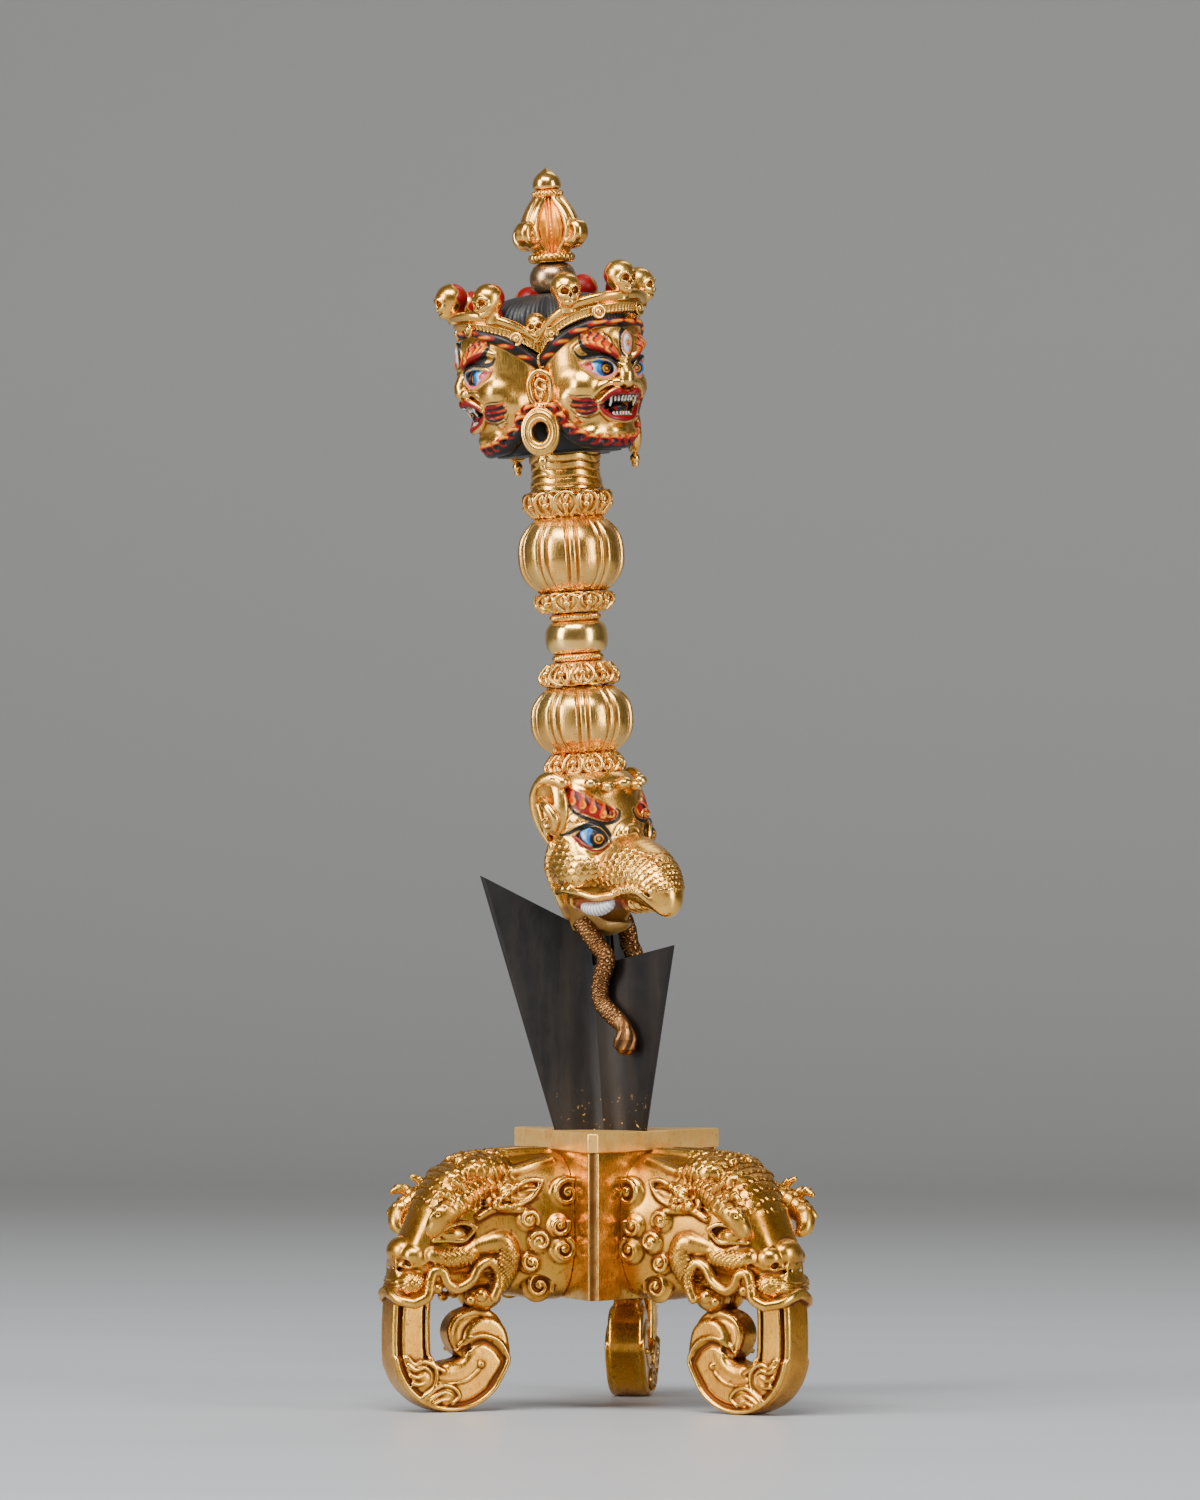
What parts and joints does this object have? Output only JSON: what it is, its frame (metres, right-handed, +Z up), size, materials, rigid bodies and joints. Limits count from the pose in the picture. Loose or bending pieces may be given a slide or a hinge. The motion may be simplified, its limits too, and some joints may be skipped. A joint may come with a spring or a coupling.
{
  "type": "phurba",
  "caption": "Gilded three-faced ritual dagger with a makara-held iron blade, standing in a tripod stand of curled makara trunks.",
  "frame": {"origin": "on the floor, in the middle of the whole object seen from above", "axes": "+Z up, against gravity; -Y towards the stand's front corner between the two front legs; +X to the right of that corner"},
  "size_m": [0.0952, 0.0884, 0.2716],
  "materials": {
    "gilding": "fire-gilded copper alloy, burnished on the high places",
    "stand_gilding": "fire-gilded copper alloy, orange-brown in the recesses",
    "copper_gold": "dull worn gilding over copper, punched",
    "dark_iron": "blackened satin iron with faint brown streaks",
    "silver_paint": "silver-white paint",
    "black_paint": "matt black paint"
  },
  "bodies": {
    "stand": {"stand_top": "stand_gilding", "stand_walls": "stand_gilding", "corner_strips": "stand_gilding", "makara_leg_left": "stand_gilding", "makara_leg_right": "stand_gilding", "makara_leg_back": "stand_gilding"},
    "dagger": {"blade": "dark_iron", "tang_rod": "dark_iron", "makara_head": "gilding", "makara_ears": "gilding", "makara_tusks": "silver_paint", "snake_left": "copper_gold", "snake_right": "copper_gold", "lotus_bottom": "gilding", "melon_lower": "gilding", "lotus_lower": "gilding", "rope_ring_lower": "gilding", "handle_bead": "gilding", "rope_ring_upper": "gilding", "lotus_upper": "gilding", "melon_upper": "gilding", "lotus_top": "gilding", "neck": "gilding", "faces_head": "gilding", "deity_ears": "gilding", "earrings": "gilding", "hair_cap": "black_paint", "crown_band": "gilding", "crown_skulls": "gilding", "crown_small_skulls": "gilding", "crown_rosettes": "gilding", "topknot_ball": "gilding", "finial_base_ring": "gilding", "finial_core": "gilding", "finial_prongs": "gilding", "finial_collar": "gilding", "finial_tip": "gilding"}
  },
  "joints": [
    {"name": "dagger_lift", "type": "slide", "parent": "stand", "child": "dagger", "axis": [-0.0663, 0, 0.9978], "range_m": [0, 0.04]}
  ]
}
